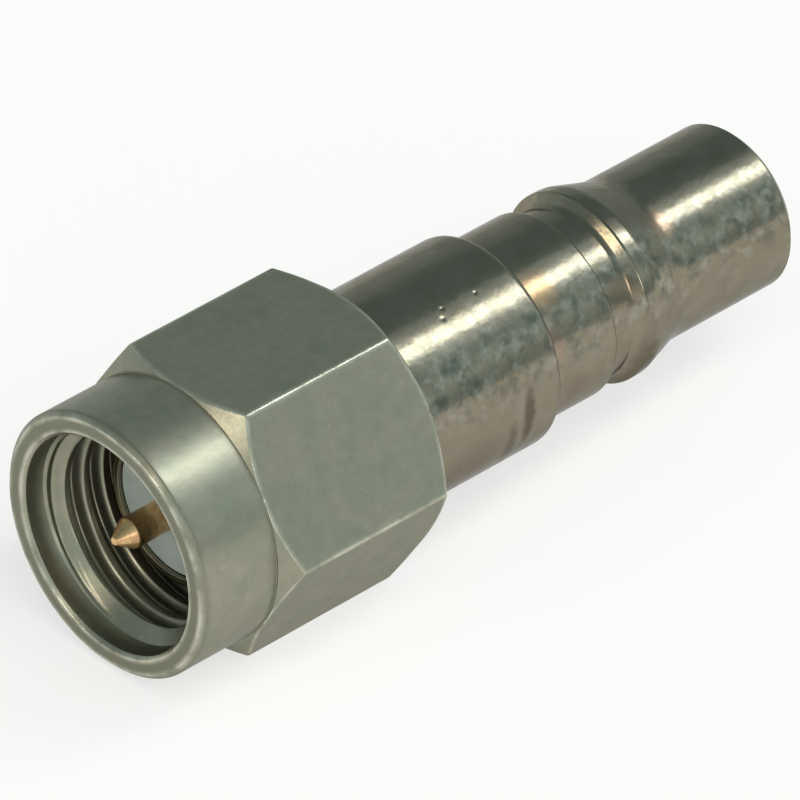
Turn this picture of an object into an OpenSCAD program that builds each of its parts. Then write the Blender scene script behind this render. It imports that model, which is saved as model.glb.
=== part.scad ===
// In-line coaxial adapter: a threaded plug with a hexagon coupling nut at one end,
// a snap-lock jack at the other.
// The axis lies along +X, with the plug's mouth at -X and the jack's mouth at +X.
// The nut lies on one of its flats. The origin is on the surface it lies on,
// under the middle of the length.

/* [Coupling nut] */
// Hexagon, across flats
hex_af = 8; // [7.6:0.05:9]
// Length of the hexagon
hex_l = 6.1; // [5.2:0.1:9]
// Length of the end chamfers, measured along the hexagon's corners
hex_chamfer = 0.45; // [0.2:0.05:1]
// Outside diameter of the round collar at the mouth
collar_d = 7.9; // [7.4:0.05:8]
// Length of the collar
collar_l = 2.65; // [1.8:0.05:5]
// Bevel on the collar's outer edge
collar_bevel = 0.15; // [0.05:0.01:0.3]
// Clearance on the radius between the mouth's plain counterbore and the mating thread
mouth_gap = 0.075; // [0.025:0.025:0.3]
// Depth of the plain counterbore
mouth_l = 0.7; // [0.4:0.05:1.8]
// Bevel at the mouth's inner edge
mouth_bevel = 0.1; // [0.05:0.01:0.2]
// Clearance on the radius between the thread's crests and the body's neck
thread_gap = 0.13; // [0.08:0.01:0.25]
// Depth of the thread, from its crests to its roots
thread_h = 0.345; // [0.25:0.005:0.4]
// Length of the undercut where the thread runs out and the retaining ring sits
undercut_l = 1.15; // [0.8:0.05:1.6]
// Depth of the undercut below the thread's roots
undercut_extra = 0.025; // [0:0.005:0.1]
// Thickness of the web at the nut's back, which pulls on the retaining ring
web_l = 1.85; // [1:0.05:2.2]

/* [Retaining ring] */
// Clearance on the radius between the split ring and the undercut
ring_gap = 0.15; // [0.05:0.01:0.2]
// Thickness of the split ring
ring_t = 0.5; // [0.3:0.05:0.7]
// Width of the split
ring_split = 0.9; // [0.4:0.1:2]
// Depth of the ring's groove in the body's neck
ring_groove_h = 0.35; // [0.2:0.05:0.45]
// How far the nut and the ring float along the body
nut_float = 0.25; // [0.1:0.05:0.5]

/* [Front body] */
// Depth of the outer conductor's contact face below the nut's front edge
face_depth = 2.35; // [1.7:0.05:2.8]
// Outside diameter of the outer conductor's nose
nose_d = 4.6; // [4.5:0.01:4.75]
// Length of the nose, from the contact face to the gasket's shoulder
nose_l = 2.1; // [1.6:0.05:2.6]
// Width of the shoulder between the nose and the neck, where the gasket seats
shoulder_w = 0.4; // [0.25:0.05:0.5]
// Diameter of the body behind the nut
body_d = 6.35; // [5.9:0.05:7]
// Length of the body behind the nut
body_l = 5.2; // [4.2:0.1:9]
// Bevel on the edge of the body that faces the nut
body_bevel = 0.1; // [0.05:0.01:0.3]
// Diameter of the socket that the jack shell is pressed into
press_d = 5.2; // [5.1:0.05:5.5]
// Depth of that socket
press_l = 2.85; // [2:0.05:3.3]

/* [Gasket] */
// How far the face gasket stays inside the shoulder's edge
gasket_inset = 0.05; // [0:0.01:0.1]
// Thickness of the face gasket
gasket_t = 0.8; // [0.4:0.05:1.2]

/* [Jack shell] */
// Diameter of the step behind the body
step_d = 5.6; // [5.4:0.05:5.8]
// Length of the step
step_l = 2.45; // [1.5:0.05:4]
// Rounding of the step's edge at the lock groove
step_round = 0.22; // [0.05:0.01:0.24]
// Diameter at the bottom of the lock groove
lock_groove_d = 5.1; // [4.9:0.05:5.3]
// Width of the lock groove at its bottom
lock_groove_l = 0.9; // [0.5:0.05:2]
// Diameter over the lock ridge
ridge_d = 5.8; // [5.6:0.05:6.1]
// Rounding of the ridge's crest
ridge_round = 0.3; // [0.1:0.05:0.5]
// Slope of the ridge's steep side, which the latch pulls on
ridge_steep_a = 52; // [40:1:70]
// Slope of the long ramp that opens the latch
ramp_a = 13.2; // [9:0.1:20]
// Radius of the blend at the foot of the ramp
ramp_blend = 3; // [0.5:0.1:6]
// Outside diameter of the jack's end tube
tube_d = 5; // [4.9:0.05:5.3]
// Length of the end tube from the foot of the ramp
tube_l = 4.15; // [3.2:0.05:8]
// Bevel on the tube's outer edge
tube_bevel = 0.18; // [0.05:0.01:0.2]
// Diameter of the jack's mouth
jack_bore_d = 4.5; // [4.4:0.05:4.55]
// Depth of the jack's mouth, down to the insulator
jack_bore_l = 3.6; // [1.5:0.05:4.5]
// Bevel at the mouth's inner edge
jack_bevel = 0.06; // [0.02:0.01:0.07]

/* [Insulators] */
// Bore of the outer conductor, which the insulators fill
line_d = 4.1; // [4:0.01:4.15]
// How far the front insulator's face lies behind the contact face
insulator_recess = 0.15; // [0:0.05:0.3]
// Diameter of the front insulator's shoulder
front_shoulder_d = 4.7; // [4.5:0.05:4.8]
// Length of the front insulator's shoulder
front_shoulder_l = 1.7; // [1:0.05:2]
// Diameter of the rear insulator's shoulder
rear_shoulder_d = 4.55; // [4.4:0.05:4.65]
// Length of the rear insulator's shoulder
rear_shoulder_l = 1; // [0.5:0.05:1.6]

/* [Centre contact] */
// Diameter of the contact inside the insulators
contact_d = 1.27; // [1.2:0.01:1.4]
// Diameter of the collar that holds the contact between the insulators
contact_collar_d = 1.9; // [1.6:0.05:2.4]
// Length of that collar
contact_collar_l = 0.7; // [0.4:0.05:0.9]
// Diameter of the plug's pin
pin_d = 0.92; // [0.9:0.01:0.94]
// Depth of the pin's tip below the nut's front edge
pin_recess = 0.35; // [0.1:0.05:0.7]
// Length of the pin's cone
pin_cone_l = 0.55; // [0.3:0.05:0.7]
// Diameter of the small flat on the pin's tip
pin_tip_d = 0.22; // [0.1:0.01:0.4]
// Diameter of the hole in the socket end
socket_d = 0.94; // [0.92:0.01:0.98]
// Depth of that hole
socket_l = 2.6; // [2.2:0.05:3.5]
// Bevel at the hole's mouth
socket_bevel = 0.08; // [0.03:0.01:0.12]
// Width of the slots between the socket's fingers
slot_w = 0.12; // [0.06:0.01:0.14]
// Length of the slots
slot_l = 1.9; // [1:0.05:2.1]

/* [Fits] */
// Running clearance on the radius between the nut and the neck
spin_gap = 0.06; // [0.03:0.01:0.08]
// Clearance on the radius between pieces that are pressed or slid together
seat_gap = 0.02; // [0.015:0.005:0.03]
// Gap between the nut's back and the body, with the nut pushed back
back_gap = 0.1; // [0.05:0.01:0.3]
// Play along the axis at each side of the retaining ring
ring_play = 0.05; // [0.03:0.01:0.1]

/* [Hidden] */
$fn = 96;
// Overshoot of a cut beyond the face it opens
cut = 0.2;

// Radii. Every profile below is drawn as [radius, distance from the nut's front edge].
flat_r = hex_af / 2;
corner_r = flat_r / cos(30);
collar_r = collar_d / 2;
nose_r = nose_d / 2;
neck_r = nose_r + shoulder_w;
web_r = neck_r + spin_gap;
minor_r = neck_r + thread_gap;
major_r = minor_r + thread_h;
undercut_r = major_r + undercut_extra;
mouth_r = major_r + mouth_gap;
ring_groove_r = neck_r - ring_groove_h;
line_r = line_d / 2;
body_r = body_d / 2;
press_r = press_d / 2;
step_r = step_d / 2;
lock_groove_r = lock_groove_d / 2;
ridge_r = ridge_d / 2;
tube_r = tube_d / 2;
jack_bore_r = jack_bore_d / 2;
contact_r = contact_d / 2;
pin_r = pin_d / 2;
socket_r = socket_d / 2;

// Places along the axis, from the nut's front edge
nut_l = collar_l + hex_l;
web_at = nut_l - web_l;
undercut_at = web_at - undercut_l;
insulator_face_at = face_depth + insulator_recess;
shoulder_at = face_depth + nose_l;
ring_at = web_at - ring_play - ring_t;
body_at = nut_l + back_gap;
body_end = body_at + body_l;
press_at = body_end - press_l;
step_end = body_end + step_l;

// The ridge is a round crest between two straight slopes, each tangent to it
groove_end = step_end + lock_groove_l;
crest_r = ridge_r - ridge_round;
steep_r = crest_r + ridge_round * cos(ridge_steep_a);
crest_at = groove_end + (steep_r - lock_groove_r) / tan(ridge_steep_a)
    + ridge_round * sin(ridge_steep_a);
steep_at = crest_at - ridge_round * sin(ridge_steep_a);
ramp_r = crest_r + ridge_round * cos(ramp_a);
ramp_at = crest_at + ridge_round * sin(ramp_a);
tube_at = ramp_at + (ramp_r - tube_r) / tan(ramp_a);
blend_l = ramp_blend * tan(ramp_a / 2);
tube_end = tube_at + tube_l;
jack_face_at = tube_end - jack_bore_l;

front_shoulder_at = press_at - front_shoulder_l;
contact_collar_at = press_at - contact_collar_l;
socket_at = jack_face_at - socket_l;

// Lays the axis along +X, with a flat of the nut at the bottom
module along_x() {
    translate([-tube_end / 2, 0, flat_r]) rotate([0, 90, 0]) children();
}

module turned(profile) {
    rotate_extrude() polygon(profile);
}

// A hexagon with a flat at the bottom, whose corners are bevelled at both ends by turning
module bevelled_hexagon() {
    over = corner_r - flat_r;
    rim_r = corner_r + over;
    run = 2 * hex_chamfer;
    intersection() {
        translate([0, 0, collar_l]) rotate([0, 0, 30]) cylinder(r = corner_r, h = hex_l, $fn = 6);
        turned([
            [0, collar_l], [flat_r, collar_l], [rim_r, collar_l + run],
            [rim_r, nut_l - run], [flat_r, nut_l], [0, nut_l]
        ]);
    }
}

module nut_bore() {
    lead = mouth_r - minor_r;
    turned([
        [0, -cut], [mouth_r + mouth_bevel + cut, -cut], [mouth_r, mouth_bevel],
        [mouth_r, mouth_l], [minor_r, mouth_l + lead], [minor_r, undercut_at],
        [undercut_r, undercut_at], [undercut_r, web_at], [web_r, web_at],
        [web_r, nut_l + cut], [0, nut_l + cut]
    ]);
}

module coupling_nut() {
    color("#8d9080") along_x() difference() {
        union() {
            bevelled_hexagon();
            turned([
                [0, 0], [collar_r - collar_bevel, 0], [collar_r, collar_bevel],
                [collar_r, collar_l], [flat_r / 2, collar_l + cut], [0, collar_l + cut]
            ]);
        }
        nut_bore();
    }
}

// A split spring ring: it snaps into the body's groove and the nut pulls against it
module retaining_ring() {
    outer_r = undercut_r - ring_gap;
    inner_r = ring_groove_r + ring_play;
    color("#b08d57") along_x() translate([0, 0, ring_at]) difference() {
        cylinder(r = outer_r, h = ring_t);
        translate([0, 0, -cut]) cylinder(r = inner_r, h = ring_t + 2 * cut);
        translate([0, -ring_split / 2, -cut]) cube([outer_r + cut, ring_split, ring_t + 2 * cut]);
    }
}

// Sits on the nose, against the shoulder
module face_gasket() {
    color("#b5482f") along_x() translate([0, 0, shoulder_at - gasket_t]) difference() {
        cylinder(r = neck_r - gasket_inset, h = gasket_t);
        translate([0, 0, -cut]) cylinder(r = nose_r + seat_gap, h = gasket_t + 2 * cut);
    }
}

// The plug's outer conductor, the neck that the nut turns on and the body behind it
module front_body() {
    nose_bevel = (nose_r - line_r) / 3;
    ring_front = ring_at - nut_float - ring_play;
    ring_back = ring_at + ring_t + ring_play;
    shoulder_r = front_shoulder_d / 2;
    color("#97998a") along_x() turned([
        [line_r, face_depth], [nose_r - nose_bevel, face_depth],
        [nose_r, face_depth + nose_bevel], [nose_r, shoulder_at],
        [neck_r, shoulder_at], [neck_r, ring_front], [ring_groove_r, ring_front],
        [ring_groove_r, ring_back], [neck_r, ring_back], [neck_r, body_at],
        [body_r - body_bevel, body_at], [body_r, body_at + body_bevel], [body_r, body_end],
        [press_r, body_end], [press_r, press_at], [shoulder_r, press_at],
        [shoulder_r, front_shoulder_at], [line_r, front_shoulder_at]
    ]);
}

// The outline of the lock groove, the ridge, its ramp and the end tube
module jack_outline() {
    difference() {
        translate([0, body_end]) square([step_r, step_l]);
        translate([step_r - step_round, step_end - step_round]) difference() {
            square(step_round + cut);
            circle(r = step_round);
        }
    }
    polygon([
        [0, step_end - step_round], [lock_groove_r, step_end - step_round],
        [lock_groove_r, groove_end], [steep_r, steep_at], [ramp_r, ramp_at],
        [tube_r, tube_at], [tube_r, tube_end - tube_bevel],
        [tube_r - tube_bevel, tube_end], [0, tube_end]
    ]);
    translate([crest_r, crest_at]) circle(r = ridge_round);
    // The hollow blend between the ramp and the tube
    difference() {
        polygon([
            [tube_r, tube_at + blend_l], [tube_r - cut / 2, tube_at],
            [tube_r + blend_l * sin(ramp_a), tube_at - blend_l * cos(ramp_a)]
        ]);
        translate([tube_r + ramp_blend, tube_at + blend_l]) circle(r = ramp_blend, $fn = 360);
    }
}

module jack_shell() {
    spigot_r = press_r - seat_gap;
    shoulder_r = rear_shoulder_d / 2;
    shoulder_end = press_at + rear_shoulder_l;
    color("#97998a") along_x() rotate_extrude() difference() {
        union() {
            translate([0, press_at]) square([spigot_r, press_l + cut]);
            jack_outline();
        }
        polygon([
            [-cut, press_at - cut], [shoulder_r, press_at - cut], [shoulder_r, shoulder_end],
            [line_r, shoulder_end], [line_r, jack_face_at], [jack_bore_r, jack_face_at],
            [jack_bore_r, tube_end - jack_bevel], [jack_bore_r + jack_bevel + cut, tube_end + cut],
            [-cut, tube_end + cut]
        ]);
    }
}

module front_insulator() {
    color("#dfe3e2") along_x() difference() {
        turned([
            [0, insulator_face_at], [line_r - seat_gap, insulator_face_at],
            [line_r - seat_gap, front_shoulder_at],
            [front_shoulder_d / 2 - seat_gap, front_shoulder_at],
            [front_shoulder_d / 2 - seat_gap, press_at], [0, press_at]
        ]);
        turned([
            [0, insulator_face_at - cut], [contact_r + seat_gap, insulator_face_at - cut],
            [contact_r + seat_gap, contact_collar_at],
            [contact_collar_d / 2 + seat_gap, contact_collar_at],
            [contact_collar_d / 2 + seat_gap, press_at + cut], [0, press_at + cut]
        ]);
    }
}

module rear_insulator() {
    shoulder_end = press_at + rear_shoulder_l;
    color("#dfe3e2") along_x() turned([
        [contact_r + seat_gap, press_at], [rear_shoulder_d / 2 - seat_gap, press_at],
        [rear_shoulder_d / 2 - seat_gap, shoulder_end], [line_r - seat_gap, shoulder_end],
        [line_r - seat_gap, jack_face_at], [contact_r + seat_gap, jack_face_at]
    ]);
}

// The pin in the plug, the collar between the insulators and the slotted socket in the jack
module centre_contact() {
    color("#c9a24a") along_x() difference() {
        turned([
            [0, pin_recess], [pin_tip_d / 2, pin_recess], [pin_r, pin_recess + pin_cone_l],
            [pin_r, insulator_face_at], [contact_r, insulator_face_at],
            [contact_r, contact_collar_at],
            [contact_collar_d / 2, contact_collar_at], [contact_collar_d / 2, press_at],
            [contact_r, press_at], [contact_r, jack_face_at], [0, jack_face_at]
        ]);
        turned([
            [0, socket_at], [socket_r, socket_at], [socket_r, jack_face_at - socket_bevel],
            [socket_r + socket_bevel + cut, jack_face_at + cut], [0, jack_face_at + cut]
        ]);
        for (turn = [45, 135]) rotate([0, 0, turn])
            translate([-contact_d, -slot_w / 2, jack_face_at - slot_l])
                cube([2 * contact_d, slot_w, slot_l + cut]);
    }
}

coupling_nut();
retaining_ring();
face_gasket();
front_body();
jack_shell();
front_insulator();
rear_insulator();
centre_contact();
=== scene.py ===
import math

import bmesh
import bpy
from mathutils import Matrix, Vector


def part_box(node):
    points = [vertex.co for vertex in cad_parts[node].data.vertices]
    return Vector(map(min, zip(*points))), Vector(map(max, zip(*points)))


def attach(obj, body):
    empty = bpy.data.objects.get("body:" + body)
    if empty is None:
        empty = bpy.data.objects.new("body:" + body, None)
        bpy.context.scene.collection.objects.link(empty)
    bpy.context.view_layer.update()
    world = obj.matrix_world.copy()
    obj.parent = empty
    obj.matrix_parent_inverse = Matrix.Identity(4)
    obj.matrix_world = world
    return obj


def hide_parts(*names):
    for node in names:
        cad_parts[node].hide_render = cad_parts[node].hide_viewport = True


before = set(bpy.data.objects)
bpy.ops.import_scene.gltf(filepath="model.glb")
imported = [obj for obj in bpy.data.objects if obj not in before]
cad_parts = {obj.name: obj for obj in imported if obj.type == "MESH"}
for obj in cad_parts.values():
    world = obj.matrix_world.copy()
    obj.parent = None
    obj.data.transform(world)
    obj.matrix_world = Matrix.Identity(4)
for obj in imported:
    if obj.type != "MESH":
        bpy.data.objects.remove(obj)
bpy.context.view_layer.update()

MM = 0.001


# ---------------------------------------------------------------- Coupling nut
# The real nut is bored, threaded and turned from a length of hexagon bar, and left free to spin.
# Brass, barrel plated with white bronze: satin, grey-green, with the corners burnished bright.
# It is cut here as rows of rings along the bore, and its thread is cut last, as a real tap does.

NUT_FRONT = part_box("coupling_nut")[0].x
AXIS_HEIGHT = (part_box("front_body")[0].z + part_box("front_body")[1].z) / 2

COLLAR_L, COLLAR_R, COLLAR_BEVEL = 2.65, 3.95, 0.15
FLAT_R, NUT_L, HEX_CHAMFER = 4.0, 8.75, 0.45
CORNER_R = FLAT_R / math.cos(math.radians(30))
MOUTH_R, MOUTH_L, MOUTH_BEVEL = 3.25, 0.7, 0.1
CREST_R, ROOT_R, PITCH = 2.83, 3.175, 0.7056
THREAD_END, WEB_AT, UNDERCUT_R, WEB_R = 5.75, 6.9, 3.2, 2.76
# Wear: how round the hexagon's corners and the ends of its chamfers have got, and how wide the
# rubbed strip beside an edge is
EDGE_ROUND, CHAMFER_ROUND, EDGE_STRIP = 0.15, 0.16, 0.13

# The bore has this many rings of points in a turn of the thread, and in the cone that leads to it
ROWS_PER_TURN, LEAD_ROWS = 22, 14
lead_end = MOUTH_L + MOUTH_R - CREST_R
thread_rows = round((THREAD_END - lead_end) / PITCH * ROWS_PER_TURN)

# An arc takes at most this share of a side, and the strip beside it this share of the arc's reach
ARC_SHARE, STRIP_SHARE = 0.42, 0.18


def soften(corners, radius, steps=4, closed=True):
    """Turns a section's corners to small arcs, with a narrow strip on both sides that keeps the
    faces flat. A corner is (along, radius) or (along, radius, rounding), in mm."""
    points = []
    count = len(corners)
    for i, corner in enumerate(corners):
        here = Vector(corner[:2])
        size = corner[2] if len(corner) > 2 else radius
        if size <= 0 or (not closed and i in (0, count - 1)):
            points.append(tuple(here))
            continue
        before = Vector(corners[i - 1][:2]) - here
        after = Vector(corners[(i + 1) % count][:2]) - here
        turn = before.normalized().angle(after.normalized(), math.pi)
        longest = ARC_SHARE * min(before.length, after.length)
        tangent = min(size / math.tan(turn / 2), longest)
        start = here + before.normalized() * tangent
        end = here + after.normalized() * tangent
        points.append(tuple(start + before.normalized() * tangent * STRIP_SHARE))
        for step in range(steps + 1):
            t = step / steps
            points.append(tuple(start * (1 - t) ** 2 + here * (2 * t * (1 - t)) + end * t ** 2))
        points.append(tuple(end + after.normalized() * tangent * STRIP_SHARE))
    return points


def ring_mesh(name, rows, angles, closed=True):
    """Joins rings of points into a closed skin. Each row is a function that turns an angle into
    (distance along the bore, radius)."""
    mesh = bpy.data.meshes.new(name)
    vertices, faces = [], []
    for row in rows:
        for angle in angles:
            along, radius = row(angle)
            vertices.append((
                NUT_FRONT + along * MM,
                radius * math.sin(angle) * MM,
                AXIS_HEIGHT + radius * math.cos(angle) * MM,
            ))
    around = len(angles)
    pairs = len(rows) if closed else len(rows) - 1
    for i in range(pairs):
        a, b = i * around, ((i + 1) % len(rows)) * around
        for j in range(around):
            k = (j + 1) % around
            faces.append((a + j, b + j, b + k, a + k))
    mesh.from_pydata(vertices, [], faces)
    return close_up(mesh)


def close_up(mesh):
    """Welds the points that meet, closes open ends and turns every face outwards."""
    work = bmesh.new()
    work.from_mesh(mesh)
    bmesh.ops.remove_doubles(work, verts=work.verts, dist=2e-7)
    open_edges = [edge for edge in work.edges if edge.is_boundary]
    if open_edges:
        bmesh.ops.holes_fill(work, edges=open_edges, sides=0)
    bmesh.ops.recalc_face_normals(work, faces=work.faces)
    for face in work.faces:
        face.smooth = True
    work.to_mesh(mesh)
    work.free()
    return mesh


def hexagon_radius(angle):
    """The bar's radius: six flats, and corners worn to a small round."""
    turn = abs((angle + math.pi / 6) % (math.pi / 3) - math.pi / 6)
    off_corner = math.pi / 6 - turn
    heart = (FLAT_R - EDGE_ROUND) / math.cos(math.pi / 6)
    reach = math.atan2(EDGE_ROUND / 2, heart + EDGE_ROUND * math.cos(math.pi / 6))
    if off_corner >= reach:
        return FLAT_R / math.cos(turn)
    side = heart * math.sin(off_corner)
    return heart * math.cos(off_corner) + math.sqrt(EDGE_ROUND ** 2 - side ** 2)


def nut_section(angle):
    """The nut's outline at an angle: out over the collar and the hexagon, and back up the bore."""
    hexagon = hexagon_radius(angle)
    run = HEX_CHAMFER * (hexagon - FLAT_R) / (CORNER_R - FLAT_R)
    return soften([
        (0, MOUTH_R + MOUTH_BEVEL, 0.05),
        (0, MOUTH_R + MOUTH_BEVEL + EDGE_STRIP, 0.0),
        (0, COLLAR_R - COLLAR_BEVEL - EDGE_STRIP, 0.0),
        (0, COLLAR_R - COLLAR_BEVEL, 0.06),
        (COLLAR_BEVEL, COLLAR_R, 0.06),
        (COLLAR_BEVEL + EDGE_STRIP, COLLAR_R, 0.0),
        (COLLAR_L, COLLAR_R, 0.02),
        (COLLAR_L, FLAT_R, 0.02),
        (COLLAR_L + run, hexagon, CHAMFER_ROUND),
        (COLLAR_L + run + EDGE_STRIP, hexagon, 0.0),
        (NUT_L - run - EDGE_STRIP, hexagon, 0.0),
        (NUT_L - run, hexagon, CHAMFER_ROUND),
        (NUT_L, FLAT_R, 0.02),
        (NUT_L, FLAT_R - EDGE_STRIP, 0.0),
        (NUT_L, WEB_R + EDGE_STRIP, 0.0),
        (NUT_L, WEB_R, 0.05),
        (WEB_AT, WEB_R, 0.03),
        (WEB_AT, UNDERCUT_R, 0.03),
        (THREAD_END, UNDERCUT_R, 0.0),
    ] + [
        (THREAD_END - (THREAD_END - lead_end) * i / thread_rows, CREST_R, 0.0)
        for i in range(thread_rows)
    ] + [
        (lead_end - (lead_end - MOUTH_L) * i / LEAD_ROWS,
         CREST_R + (MOUTH_R - CREST_R) * i / LEAD_ROWS, 0.0)
        for i in range(LEAD_ROWS)
    ] + [
        (MOUTH_L, MOUTH_R, 0.0),
        (MOUTH_BEVEL, MOUTH_R, 0.04),
    ], 0)


# The columns stand close together round each worn corner, and evenly across the flats
CORNER_COLUMNS = (-1.6, -1, -0.6, -0.2, 0.2, 0.6, 1, 1.6)
FLAT_COLUMNS = 34
corner_reach = math.degrees(math.atan2(EDGE_ROUND / 2, CORNER_R))
corner_end = CORNER_COLUMNS[-1] * corner_reach
nut_angles = []
for side in range(6):
    corner = side * 60 + 30
    for step in CORNER_COLUMNS:
        nut_angles.append(corner + step * corner_reach)
    for step in range(1, FLAT_COLUMNS):
        nut_angles.append(corner + corner_end + step * (60 - 2 * corner_end) / FLAT_COLUMNS)
nut_angles = [math.radians(a) for a in nut_angles]

sections = {angle: nut_section(angle) for angle in nut_angles}
row_count = len(sections[nut_angles[0]])
rows = [(lambda angle, i=i: sections[angle][i]) for i in range(row_count)]
nut_mesh = ring_mesh("coupling_nut_turned", rows, nut_angles)

# Two attributes for the finish: wear is 1 on an edge and falls to 0 beside it, and milled is 1 on
# the flats. A point within SKIN of the hexagon's own radius is on the hexagon.
SKIN = 0.03
wear = nut_mesh.attributes.new("wear", "FLOAT", "POINT")
milled = nut_mesh.attributes.new("milled", "FLOAT", "POINT")
for vertex in nut_mesh.vertices:
    along = (vertex.co.x - NUT_FRONT) / MM
    y, z = vertex.co.y / MM, (vertex.co.z - AXIS_HEIGHT) / MM
    radius, angle = math.hypot(y, z), math.atan2(y, z)
    hexagon = hexagon_radius(angle)
    run = HEX_CHAMFER * (hexagon - FLAT_R) / (CORNER_R - FLAT_R)
    off_corner = math.pi / 6 - abs((angle + math.pi / 6) % (math.pi / 3) - math.pi / 6)
    gaps = [
        math.hypot(along, radius - COLLAR_R + COLLAR_BEVEL),
        math.hypot(along, radius - MOUTH_R - MOUTH_BEVEL),
    ]
    if radius > hexagon - SKIN:
        gaps += [abs(along - COLLAR_L - run), abs(NUT_L - run - along)]
        if COLLAR_L + run < along < NUT_L - run:
            gaps.append(off_corner * radius)
            milled.data[vertex.index].value = 1.0
    wear.data[vertex.index].value = max(0.0, 1 - min(gaps) / EDGE_STRIP)
nut = bpy.data.objects.new("coupling_nut_turned", nut_mesh)
bpy.context.scene.collection.objects.link(nut)


def add(tree, kind, links=(), stops=(), **settings):
    """Adds a node with its settings, its input values or links, and the stops of its colour band,
    of which the two ends come first."""
    node = tree.nodes.new(kind)
    for key, value in settings.items():
        setattr(node, key, value)
    for i, (at, code) in enumerate(stops):
        stop = node.color_ramp.elements[i] if i < 2 else node.color_ramp.elements.new(at)
        stop.position, stop.color = at, colour(code)
    for socket, source in dict(links).items():
        target = node.inputs[socket]
        if isinstance(source, bpy.types.Node):
            source = source.outputs[0]
        if isinstance(source, bpy.types.NodeSocket):
            tree.links.new(source, target)
        else:
            target.default_value = source
    return node


def colour(code):
    """An sRGB hex colour as the linear values that a shader takes."""
    channels = [int(code[i:i + 2], 16) / 255 for i in (1, 3, 5)]
    return [c / 12.92 if c <= 0.04045 else ((c + 0.055) / 1.055) ** 2.4 for c in channels] + [1.0]


# The groove's flat bottom and its full width, each as a share of the pitch from its middle line,
# and how far outside the thread's roots a point may lie and still count as the bore's
GROOVE_BOTTOM, GROOVE_EDGE, BORE_MARGIN = 0.06, 0.39, 0.02


def thread_tree():
    """Cuts a right-hand thread: each point of the bore moves out to the depth that the groove has
    at its own turn and distance along."""
    tree = bpy.data.node_groups.new("cut_inner_thread", "GeometryNodeTree")
    face = tree.interface
    face.new_socket("Geometry", in_out="INPUT", socket_type="NodeSocketGeometry")
    for label in ("Pitch", "Root radius", "Crest radius", "Start", "End", "Axis height"):
        face.new_socket(label, in_out="INPUT", socket_type="NodeSocketFloat")
    face.new_socket("Finish", in_out="INPUT", socket_type="NodeSocketMaterial")
    face.new_socket("Geometry", in_out="OUTPUT", socket_type="NodeSocketGeometry")
    inlet = add(tree, "NodeGroupInput").outputs
    outlet = add(tree, "NodeGroupOutput")

    place = add(tree, "ShaderNodeSeparateXYZ", {0: add(tree, "GeometryNodeInputPosition")}).outputs
    height = add(tree, "ShaderNodeMath", {
        0: place["Z"], 1: inlet["Axis height"],
    }, operation="SUBTRACT")
    across = add(tree, "ShaderNodeCombineXYZ", {"Y": place["Y"], "Z": height})
    radius = add(tree, "ShaderNodeVectorMath", {0: across}, operation="LENGTH").outputs["Value"]
    angle = add(tree, "ShaderNodeMath", {0: place["Y"], 1: height}, operation="ARCTAN2")
    turns = add(tree, "ShaderNodeMath", {0: angle, 1: math.tau}, operation="DIVIDE")
    run_in = add(tree, "ShaderNodeMath", {0: place["X"], 1: inlet["Start"]}, operation="SUBTRACT")
    pitches = add(tree, "ShaderNodeMath", {0: run_in, 1: inlet["Pitch"]}, operation="DIVIDE")
    phase = add(tree, "ShaderNodeMath", {
        0: add(tree, "ShaderNodeMath", {0: pitches, 1: turns}),
    }, operation="FRACT")
    off_root = add(tree, "ShaderNodeMath", {0: phase, 1: 0.5}, operation="SUBTRACT")
    depth = add(tree, "ShaderNodeMapRange", {
        "Value": add(tree, "ShaderNodeMath", {0: off_root}, operation="ABSOLUTE"),
        "From Min": GROOVE_EDGE, "From Max": GROOVE_BOTTOM,
        "To Min": inlet["Crest radius"], "To Max": inlet["Root radius"],
    }, interpolation_type="SMOOTHSTEP")
    cut = add(tree, "ShaderNodeMath", {0: radius, 1: depth}, operation="MAXIMUM")
    ratio = add(tree, "ShaderNodeMath", {0: cut, 1: radius}, operation="DIVIDE")
    spread = add(tree, "ShaderNodeVectorMath", {0: across, "Scale": ratio}, operation="SCALE")
    axis = add(tree, "ShaderNodeCombineXYZ", {"X": place["X"], "Z": inlet["Axis height"]})
    moved = add(tree, "ShaderNodeVectorMath", {0: spread, 1: axis})
    inside = add(tree, "FunctionNodeBooleanMath", {
        0: add(tree, "FunctionNodeCompare", {
            0: place["X"], 1: inlet["Start"],
        }, operation="GREATER_THAN"),
        1: add(tree, "FunctionNodeCompare", {
            0: place["X"], 1: inlet["End"],
        }, operation="LESS_EQUAL"),
    }, operation="AND")
    in_bore = add(tree, "FunctionNodeBooleanMath", {
        0: inside,
        1: add(tree, "FunctionNodeCompare", {
            0: radius,
            1: add(tree, "ShaderNodeMath", {0: inlet["Root radius"], 1: BORE_MARGIN * MM}),
        }, operation="LESS_THAN"),
    }, operation="AND")
    shaped = add(tree, "GeometryNodeSetPosition", {
        "Geometry": inlet["Geometry"], "Selection": in_bore, "Position": moved,
    })
    real = add(tree, "GeometryNodeRealizeInstances", {"Geometry": shaped})
    painted = add(tree, "GeometryNodeSetMaterial", {"Geometry": real, "Material": inlet["Finish"]})
    tree.links.new(painted.outputs[0], outlet.inputs[0])
    return tree


def grow(piece, tree, **values):
    """Runs a Geometry Nodes tree on a piece and keeps its result as a plain mesh."""
    modifier = piece.modifiers.new(tree.name, "NODES")
    modifier.node_group = tree
    inputs = [item for item in tree.interface.items_tree if item.in_out == "INPUT"]
    sockets = {item.name: item.identifier for item in inputs}
    for label, value in values.items():
        modifier[sockets[label.replace("_", " ")]] = value
    graph = bpy.context.evaluated_depsgraph_get()
    made = bpy.data.meshes.new_from_object(piece.evaluated_get(graph))
    piece.modifiers.clear()
    made.name = piece.name
    piece.data = made


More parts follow.
